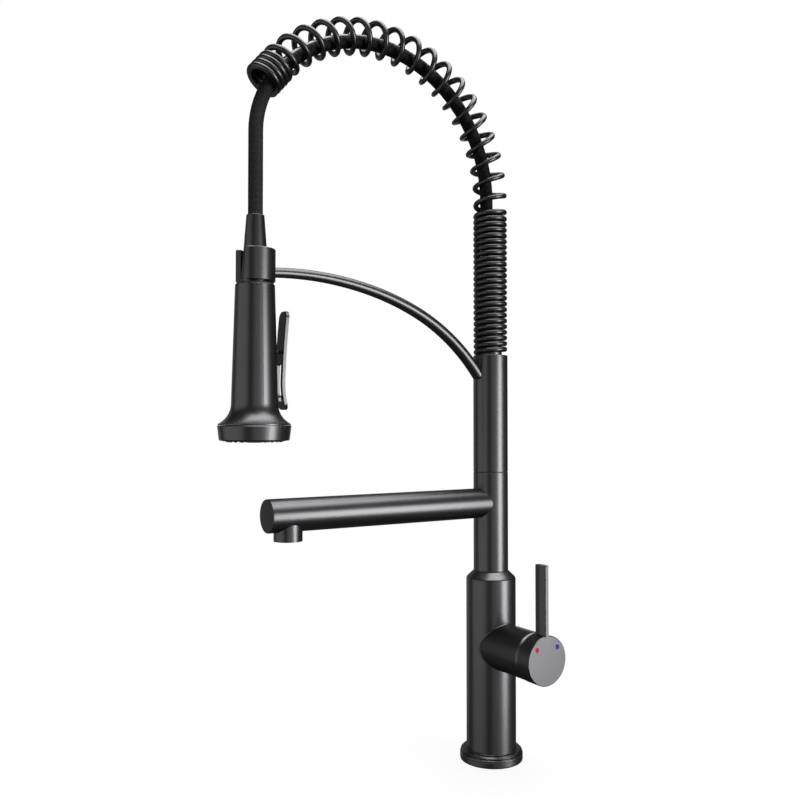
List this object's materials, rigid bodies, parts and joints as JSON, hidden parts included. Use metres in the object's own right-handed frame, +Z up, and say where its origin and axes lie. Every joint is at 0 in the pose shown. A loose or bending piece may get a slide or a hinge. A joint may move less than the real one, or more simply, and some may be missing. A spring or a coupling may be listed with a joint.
{
  "type": "spring neck kitchen tap",
  "caption": "Deck-mounted spring-neck mixer tap with a docked pull-down sprayer, a swinging pot-filler spout and a side lever.",
  "frame": {"origin": "centre of the foot on the worktop, on the axis of the shank hole", "axes": "+Z up along the column, -Y towards the sink along the spout, dock arm and arch, +X towards the mixer lever"},
  "size_m": [0.1011, 0.2812, 0.6273],
  "materials": {
    "black_steel": "satin black",
    "coil_wire": "satin black, a little glossier",
    "bright_trim": "polished",
    "hose_braid": "matt woven nylon",
    "black_rubber": "matt",
    "black_plastic": "fine matt",
    "white_plastic": "moulded",
    "ceramic": "lapped",
    "brass": "machined",
    "spring_steel": "bright",
    "red_mark": "enamel",
    "blue_mark": "enamel"
  },
  "bodies": {
    "base": {"base_ring": "black_steel", "deck_gasket": "black_rubber", "body_casting": "black_steel", "valve_housing": "black_steel", "swivel_post": "brass", "post_o_rings": "black_rubber", "post_washer": "black_plastic", "post_clip": "spring_steel", "diverter_spring": "spring_steel", "cartridge_shell": "white_plastic", "port_seals": "black_rubber", "fixed_disc": "ceramic", "cartridge_nut": "brass", "dome_ring": "bright_trim"},
    "diverter": {"diverter_spool": "white_plastic"},
    "mixer_rotor": {"cartridge_rotor": "white_plastic", "tilt_pin": "spring_steel"},
    "mixer_lever": {"lever_stem": "brass", "lever_handle": "black_steel", "hot_mark": "red_mark", "cold_mark": "blue_mark", "lever_screw": "spring_steel"},
    "mixer_disc": {"moving_disc": "ceramic"},
    "spout": {"spout_sleeve": "black_steel", "spout_tube": "black_steel", "spout_end_cap": "black_steel", "spout_bushes": "white_plastic", "seam_washer": "black_plastic", "aerator_ring": "black_plastic", "aerator_core": "white_plastic", "aerator_screen": "spring_steel", "aerator_washer": "black_rubber"},
    "column": {"column_tube": "black_steel", "column_bushes": "white_plastic", "spring_guide": "black_steel", "dock_arm": "black_steel", "dock_ring": "black_steel", "spring_closed_coils": "coil_wire", "spring_arch_coils": "coil_wire", "hose": "hose_braid", "hose_tail": "brass", "tail_o_rings": "black_rubber", "hose_sleeve": "spring_steel"},
    "hose_end": {"hose_ferrule": "spring_steel", "hose_nipple": "brass"},
    "sprayer": {"swivel_cone": "black_steel", "sprayer_shell": "black_steel", "sprayer_core": "white_plastic", "check_valve": "white_plastic", "swivel_washer": "black_rubber", "sprayer_rim": "black_steel", "nozzle_plate": "black_rubber", "spray_plate": "white_plastic", "stream_jet": "black_plastic", "paddle_bracket": "black_steel", "plunger_spring": "spring_steel"},
    "paddle": {"spray_paddle": "black_steel", "paddle_pin": "spring_steel"},
    "plunger": {"spray_plunger": "black_plastic"}
  },
  "joints": [
    {"name": "spout_swivel", "type": "hinge", "parent": "base", "child": "spout", "pos_m": [0, 0, 0.2248], "axis": [0, 0, 1], "continuous": true},
    {"name": "column_swivel", "type": "hinge", "parent": "base", "child": "column", "pos_m": [0, 0, 0.3], "axis": [0, 0, 1], "continuous": true},
    {"name": "hose_pull", "type": "slide", "parent": "column", "child": "hose_end", "axis": [0, 0, -1], "range_m": [0, 0.038], "stiffness_N_per_m": 250, "springref_m": -0.06, "deforming": ["hose", "spring_arch_coils"]},
    {"name": "sprayer_turn", "type": "hinge", "parent": "hose_end", "child": "sprayer", "pos_m": [0, -0.226, 0.4], "axis": [0, 0, 1], "continuous": true},
    {"name": "paddle_squeeze", "type": "hinge", "parent": "sprayer", "child": "paddle", "pos_m": [0, -0.2071, 0.3136], "axis": [1, 0, 0], "range_deg": [0, 5], "stiffness_Nm_per_rad": 0.8, "springref_deg": -11.46},
    {"name": "plunger_slide", "type": "slide", "parent": "sprayer", "child": "plunger", "axis": [0, -1, 0], "range_m": [0, 0.0034], "deforming": ["plunger_spring"]},
    {"name": "temperature_turn", "type": "hinge", "parent": "base", "child": "mixer_rotor", "pos_m": [0.045, 0, 0.1009], "axis": [1, 0, 0], "range_deg": [-45, 45]},
    {"name": "flow_tilt", "type": "hinge", "parent": "mixer_rotor", "child": "mixer_lever", "pos_m": [0.039, 0, 0.1009], "axis": [0, 1, 0], "range_deg": [0, 22]},
    {"name": "disc_slide", "type": "slide", "parent": "mixer_rotor", "child": "mixer_disc", "axis": [0, 0, 1], "range_m": [0, 0.0016]},
    {"name": "diverter_lift", "type": "slide", "parent": "base", "child": "diverter", "axis": [0, 0, 1], "range_m": [0, 0.006], "stiffness_N_per_m": 60, "springref_m": -0.004, "deforming": ["diverter_spring"]}
  ],
  "couplings": [
    {"joint": "plunger_slide", "follows": "paddle_squeeze", "m_per_rad": 0.0364},
    {"joint": "disc_slide", "follows": "flow_tilt", "m_per_rad": 0.004}
  ]
}
